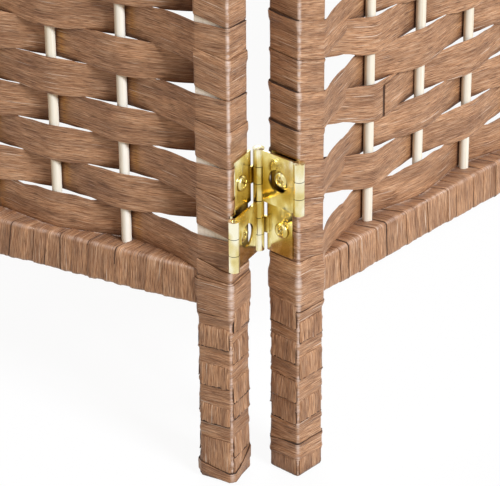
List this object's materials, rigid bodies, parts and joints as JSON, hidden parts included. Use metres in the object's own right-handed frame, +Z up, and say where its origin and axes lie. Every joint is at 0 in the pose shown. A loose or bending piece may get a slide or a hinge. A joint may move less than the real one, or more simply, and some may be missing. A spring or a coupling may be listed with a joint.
{
  "type": "folding screen",
  "caption": "Zigzag folding room divider: ribbon-woven timber panels on short legs, joined by double-action brass hinges that fold flat.",
  "frame": {"origin": "middle of the standing screen's footprint, on the floor", "axes": "+Z up, +X along the screen, -Y towards its front, where the middle fold points"},
  "size_m": [1.3392, 0.2758, 1.7],
  "materials": {
    "timber": "sawn, hidden",
    "dowel": "plain sanded",
    "ribbon": "flat twisted-paper ribbon with streaks along it",
    "brass": "polished"
  },
  "bodies": {
    "panel_2": {"panel_2_left_stile": "timber", "panel_2_right_stile": "timber", "panel_2_top_rail": "timber", "panel_2_bottom_rail": "timber", "panel_2_joint_pins": "timber", "panel_2_dowels": "dowel", "panel_2_weave": "ribbon", "panel_2_stile_wraps": "ribbon", "panel_2_rail_wraps": "ribbon", "panel_2_screws": "brass", "fold_1_right_plates": "brass", "fold_1_lower_leaves": "brass", "fold_1_lower_pins": "brass", "fold_2_left_plates": "brass", "fold_2_lower_leaves": "brass", "fold_2_lower_pins": "brass"},
    "panel_1": {"panel_1_left_stile": "timber", "panel_1_right_stile": "timber", "panel_1_top_rail": "timber", "panel_1_bottom_rail": "timber", "panel_1_joint_pins": "timber", "panel_1_dowels": "dowel", "panel_1_weave": "ribbon", "panel_1_stile_wraps": "ribbon", "panel_1_rail_wraps": "ribbon", "panel_1_screws": "brass", "fold_1_left_plates": "brass", "fold_1_upper_leaves": "brass", "fold_1_upper_pins": "brass"},
    "panel_3": {"panel_3_left_stile": "timber", "panel_3_right_stile": "timber", "panel_3_top_rail": "timber", "panel_3_bottom_rail": "timber", "panel_3_joint_pins": "timber", "panel_3_dowels": "dowel", "panel_3_weave": "ribbon", "panel_3_stile_wraps": "ribbon", "panel_3_rail_wraps": "ribbon", "panel_3_screws": "brass", "fold_2_right_plates": "brass", "fold_2_upper_leaves": "brass", "fold_2_upper_pins": "brass", "fold_3_left_plates": "brass", "fold_3_upper_leaves": "brass", "fold_3_upper_pins": "brass"},
    "panel_4": {"panel_4_left_stile": "timber", "panel_4_right_stile": "timber", "panel_4_top_rail": "timber", "panel_4_bottom_rail": "timber", "panel_4_joint_pins": "timber", "panel_4_dowels": "dowel", "panel_4_weave": "ribbon", "panel_4_stile_wraps": "ribbon", "panel_4_rail_wraps": "ribbon", "panel_4_screws": "brass", "fold_3_right_plates": "brass", "fold_3_lower_leaves": "brass", "fold_3_lower_pins": "brass"}
  },
  "joints": [
    {"name": "fold_2", "type": "hinge", "parent": "panel_2", "child": "panel_3", "pos_m": [0, -0.11489, 0], "axis": [0, 0, 1], "range_deg": [-75.7, 102.3]},
    {"name": "fold_1", "type": "hinge", "parent": "panel_2", "child": "panel_1", "pos_m": [-0.33726, 0.11489, 0], "axis": [0, 0, 1], "range_deg": [-75.7, 102.3]},
    {"name": "fold_3", "type": "hinge", "parent": "panel_3", "child": "panel_4", "pos_m": [0.33726, 0.11489, 0], "axis": [0, 0, 1], "range_deg": [-102.3, 75.7]}
  ]
}
